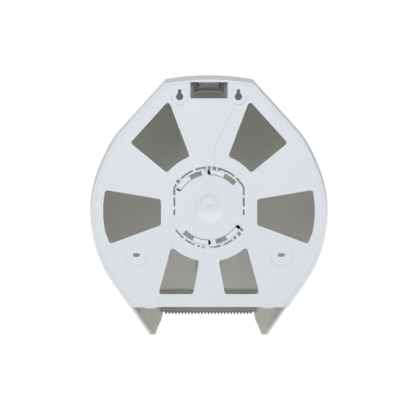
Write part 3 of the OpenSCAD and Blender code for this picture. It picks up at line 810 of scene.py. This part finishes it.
@dataclass
class RollHolder:
    """The core holder that spins on the axle.

    Attributes:
        body: The CAD body that it rides on.
        mandrel: Its dressed node.
    """

    body: str = "roll_holder"
    mandrel: DressedNode = field(default_factory=lambda: DressedNode(
        "mandrel", Finish.INNER, "inner_abs", edge_mm=0.4))

    def build(self, frame: dict) -> None:
        """Dresses the core holder."""
        self.mandrel.build(frame, self.body)


@dataclass
class Latch:
    """The slider with the two posts that a key presses down.

    Attributes:
        body: The CAD body that it rides on.
        slider: Its dressed node.
    """

    body: str = "latch"
    slider: DressedNode = field(default_factory=lambda: DressedNode(
        # The slider's dark finish is painted shade of the pocket.
        "latch_slider", Finish.SLIDER, "acetal", edge_mm=0.3))

    def build(self, frame: dict) -> None:
        """Dresses the slider."""
        self.slider.build(frame, self.body)


@dataclass(frozen=True)
class SoftBox:
    """A square soft box that faces the hub.

    Attributes:
        name: Its name.
        place: Its place from the hub, in metres.
        power: Its power in watts.
        size: Its side in metres.
    """

    name: str
    place: tuple[float, float, float]
    power: float
    size: float

    def build(self) -> None:
        """Adds the lamp."""
        deselect()
        place = HUB + Vector(self.place)
        bpy.ops.object.light_add(type="AREA", location=place)
        light = bpy.context.object
        light.name = self.name
        light.data.energy = self.power
        light.data.size = self.size
        light.rotation_euler = (HUB - place).to_track_quat("-Z", "Y").to_euler()


@dataclass
class Studio:
    """Camera, lights, floor and backdrop.

    Attributes:
        distance: Distance of the camera from the wall plane, in metres.
        yaw: How far the camera stands to the dispenser's left, in degrees.
        lens_mm: Focal length on a sensor of the width sensor_mm.
        sensor_mm: Width of the sensor.
        far: Distance to which the camera sees, in metres.
        aim: The point that the camera faces, from the hub, in metres.
        floor_drop: Height of the keyholes above the floor, in metres.
        floor_size: Side of the floor.
        shadow_to: Distances between which the floor fades to white, in metres.
        sky_light: Strength of the even light from all sides.
        lamps: The soft boxes.
    """

    distance: float = 2.2
    yaw: float = 0.4
    lens_mm: float = 140.0
    sensor_mm: float = 36.0
    far: float = 20.0
    aim: tuple[float, float, float] = (0.00143, 0, -0.00095)
    floor_drop: float = 0.62
    floor_size: float = 14.0
    shadow_to: tuple[float, float] = (0.5, 1.35)
    sky_light: float = 0.35
    lamps: tuple[SoftBox, ...] = (
        SoftBox("upper_left", (1.15, 1.7, 1.2), 21.9, 1.7),
        SoftBox("upper_right", (-1.15, 1.7, 1.2), 15.6, 1.7),
        SoftBox("left", (1.7, 0.8, -0.25), 4, 1.0),
        SoftBox("right", (-1.7, 0.8, -0.25), 4, 1.0),
        SoftBox("front", (0.4, -2.2, 1.3505), 38, 1.6))

    def camera(self) -> None:
        """Adds the camera at the photograph's place."""
        aim = HUB + Vector(self.aim)
        turn = math.radians(self.yaw)
        place = aim + Vector((math.sin(turn), math.cos(turn), 0)) * self.distance
        deselect()
        bpy.ops.object.camera_add(location=place)
        camera = bpy.context.object
        camera.rotation_euler = (aim - place).to_track_quat("-Z", "Y").to_euler()
        camera.data.lens = self.lens_mm
        camera.data.sensor_width = self.sensor_mm
        camera.data.clip_end = self.far
        bpy.context.scene.camera = camera

    def seen(self, tree: bpy.types.NodeTree) -> bpy.types.NodeSocket:
        """Finds the rays that show the background.

        Args:
            tree: The node tree to add to.

        Returns:
            A socket that is 1 for those rays.
        """
        ray = add_node(tree, "ShaderNodeLightPath")
        value = ray.outputs["Is Camera Ray"]
        for kind in ("Is Glossy Ray", "Is Transmission Ray"):
            value = add_node(tree, "ShaderNodeMath", {0: value, 1: ray.outputs[kind]},
                             operation="MAXIMUM").outputs[0]
        return value

    def ground(self) -> None:
        """Adds the pale floor, with the shadow near the middle and white beyond."""
        deselect()
        bpy.ops.mesh.primitive_plane_add(size=self.floor_size, location=(0, 0, -self.floor_drop))
        floor = bpy.context.object
        floor.name = "floor"
        material = new_material("matte_white_floor")
        tree = material.node_tree
        place = add_node(tree, "ShaderNodeTexCoord")
        reach = add_node(tree, "ShaderNodeVectorMath", {0: place.outputs["Object"]},
                         operation="LENGTH")
        beyond = add_node(tree, "ShaderNodeMapRange", {
            "Value": reach.outputs["Value"], "From Min": self.shadow_to[0],
            "From Max": self.shadow_to[1]}, interpolation_type="SMOOTHSTEP")
        share = add_node(tree, "ShaderNodeMath", {
            0: self.seen(tree), 1: beyond.outputs["Result"]}, operation="MULTIPLY")
        matte = add_node(tree, "ShaderNodeBsdfDiffuse", {"Color": linear("#E0E0E0")})
        white = add_node(tree, "ShaderNodeEmission", {"Color": linear("#FFFFFF")})
        both = add_node(tree, "ShaderNodeMixShader", {
            0: share.outputs[0], 1: matte.outputs[0], 2: white.outputs[0]})
        add_node(tree, "ShaderNodeOutputMaterial", {"Surface": both.outputs[0]})
        floor.data.materials.append(material)

    def sky(self) -> None:
        """Sets the even pale surround, white where it is seen."""
        world = bpy.data.worlds.new("studio")
        bpy.context.scene.world = world
        world.use_nodes = True
        tree = world.node_tree
        tree.nodes.clear()
        light = add_node(tree, "ShaderNodeBackground", {
            "Color": linear("#F4F7FB"), "Strength": self.sky_light})
        white = add_node(tree, "ShaderNodeBackground", {
            "Color": linear("#FFFFFF"), "Strength": 1.0})
        both = add_node(tree, "ShaderNodeMixShader", {
            0: self.seen(tree), 1: light.outputs[0], 2: white.outputs[0]})
        add_node(tree, "ShaderNodeOutputWorld", {"Surface": both.outputs[0]})

    def build(self) -> None:
        """Sets the whole studio up."""
        bpy.context.scene.view_settings.view_transform = "Standard"
        self.camera()
        self.ground()
        self.sky()
        for lamp in self.lamps:
            lamp.build()


def main() -> None:
    """Builds the dressed dispenser and its studio."""
    logging.basicConfig(level=logging.INFO, format="%(name)s: %(message)s")
    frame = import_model()
    Studio().build()
    WallUnit().build(frame)
    Cover().build(frame)
    RollHolder().build(frame)
    Latch().build(frame)


if __name__ == "__main__":
    main()
